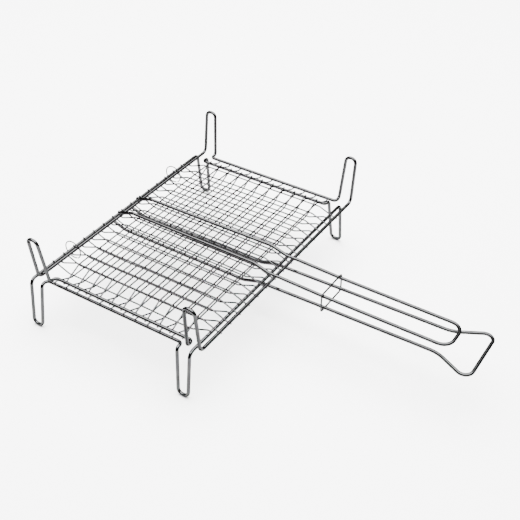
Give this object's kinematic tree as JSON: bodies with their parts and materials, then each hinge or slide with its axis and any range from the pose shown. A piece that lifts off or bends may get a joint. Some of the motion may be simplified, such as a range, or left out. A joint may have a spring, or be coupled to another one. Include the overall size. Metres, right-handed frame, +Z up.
{
  "type": "grill basket",
  "caption": "Folding wire grill basket: two dished grids on looped legs, hinged at one side by open rings and clamped by a sliding ring on long handles",
  "frame": {"origin": "middle of the basket's bounding box, on the surface its lower feet stand on", "axes": "+X along the handles away from the hinge, Y across the handles, +Z up with the basket standing on its lower feet"},
  "size_m": [0.6572, 0.4592, 0.177],
  "materials": {
    "frame_steel": "bright plated steel wire, lightly drawn",
    "grid_steel": "bright plated thin steel wire",
    "handle_steel": "bright plated steel rod",
    "ring_steel": "plated thin steel wire, slightly duller"
  },
  "bodies": {
    "lower_grid": {"lower_frame": "frame_steel", "lower_wire_y01": "grid_steel", "lower_wire_y02": "grid_steel", "lower_wire_y03": "grid_steel", "lower_wire_y04": "grid_steel", "lower_wire_y05": "grid_steel", "lower_wire_y06": "grid_steel", "lower_wire_y07": "grid_steel", "lower_wire_y08": "grid_steel", "lower_wire_y09": "grid_steel", "lower_wire_y10": "grid_steel", "lower_wire_y11": "grid_steel", "lower_wire_x01": "grid_steel", "lower_wire_x02": "grid_steel", "lower_wire_x03": "grid_steel", "lower_wire_x04": "grid_steel", "lower_wire_x05": "grid_steel", "lower_wire_x06": "grid_steel", "lower_wire_x07": "grid_steel", "lower_wire_x08": "grid_steel", "lower_wire_x09": "grid_steel", "lower_wire_x10": "grid_steel", "lower_wire_x11": "grid_steel", "lower_wire_x12": "grid_steel", "lower_wire_x13": "grid_steel", "lower_wire_x14": "grid_steel", "lower_wire_x15": "grid_steel", "lower_handle": "handle_steel", "hinge_ring_near": "ring_steel", "hinge_ring_far": "ring_steel"},
    "upper_grid": {"upper_frame": "frame_steel", "upper_wire_y01": "grid_steel", "upper_wire_y02": "grid_steel", "upper_wire_y03": "grid_steel", "upper_wire_y04": "grid_steel", "upper_wire_y05": "grid_steel", "upper_wire_y06": "grid_steel", "upper_wire_y07": "grid_steel", "upper_wire_y08": "grid_steel", "upper_wire_y09": "grid_steel", "upper_wire_y10": "grid_steel", "upper_wire_y11": "grid_steel", "upper_wire_x01": "grid_steel", "upper_wire_x02": "grid_steel", "upper_wire_x03": "grid_steel", "upper_wire_x04": "grid_steel", "upper_wire_x05": "grid_steel", "upper_wire_x06": "grid_steel", "upper_wire_x07": "grid_steel", "upper_wire_x08": "grid_steel", "upper_wire_x09": "grid_steel", "upper_wire_x10": "grid_steel", "upper_wire_x11": "grid_steel", "upper_wire_x12": "grid_steel", "upper_wire_x13": "grid_steel", "upper_wire_x14": "grid_steel", "upper_wire_x15": "grid_steel", "upper_handle": "handle_steel"},
    "clamp_ring": {"closing_ring": "ring_steel"}
  },
  "joints": [
    {"name": "basket_hinge", "type": "hinge", "parent": "lower_grid", "child": "upper_grid", "pos_m": [-0.30222, 0, 0.09538], "axis": [0, -1, 0], "range_deg": [0, 105]},
    {"name": "ring_slide", "type": "slide", "parent": "lower_grid", "child": "clamp_ring", "axis": [1, 0, 0], "range_m": [0, 0.17]}
  ]
}
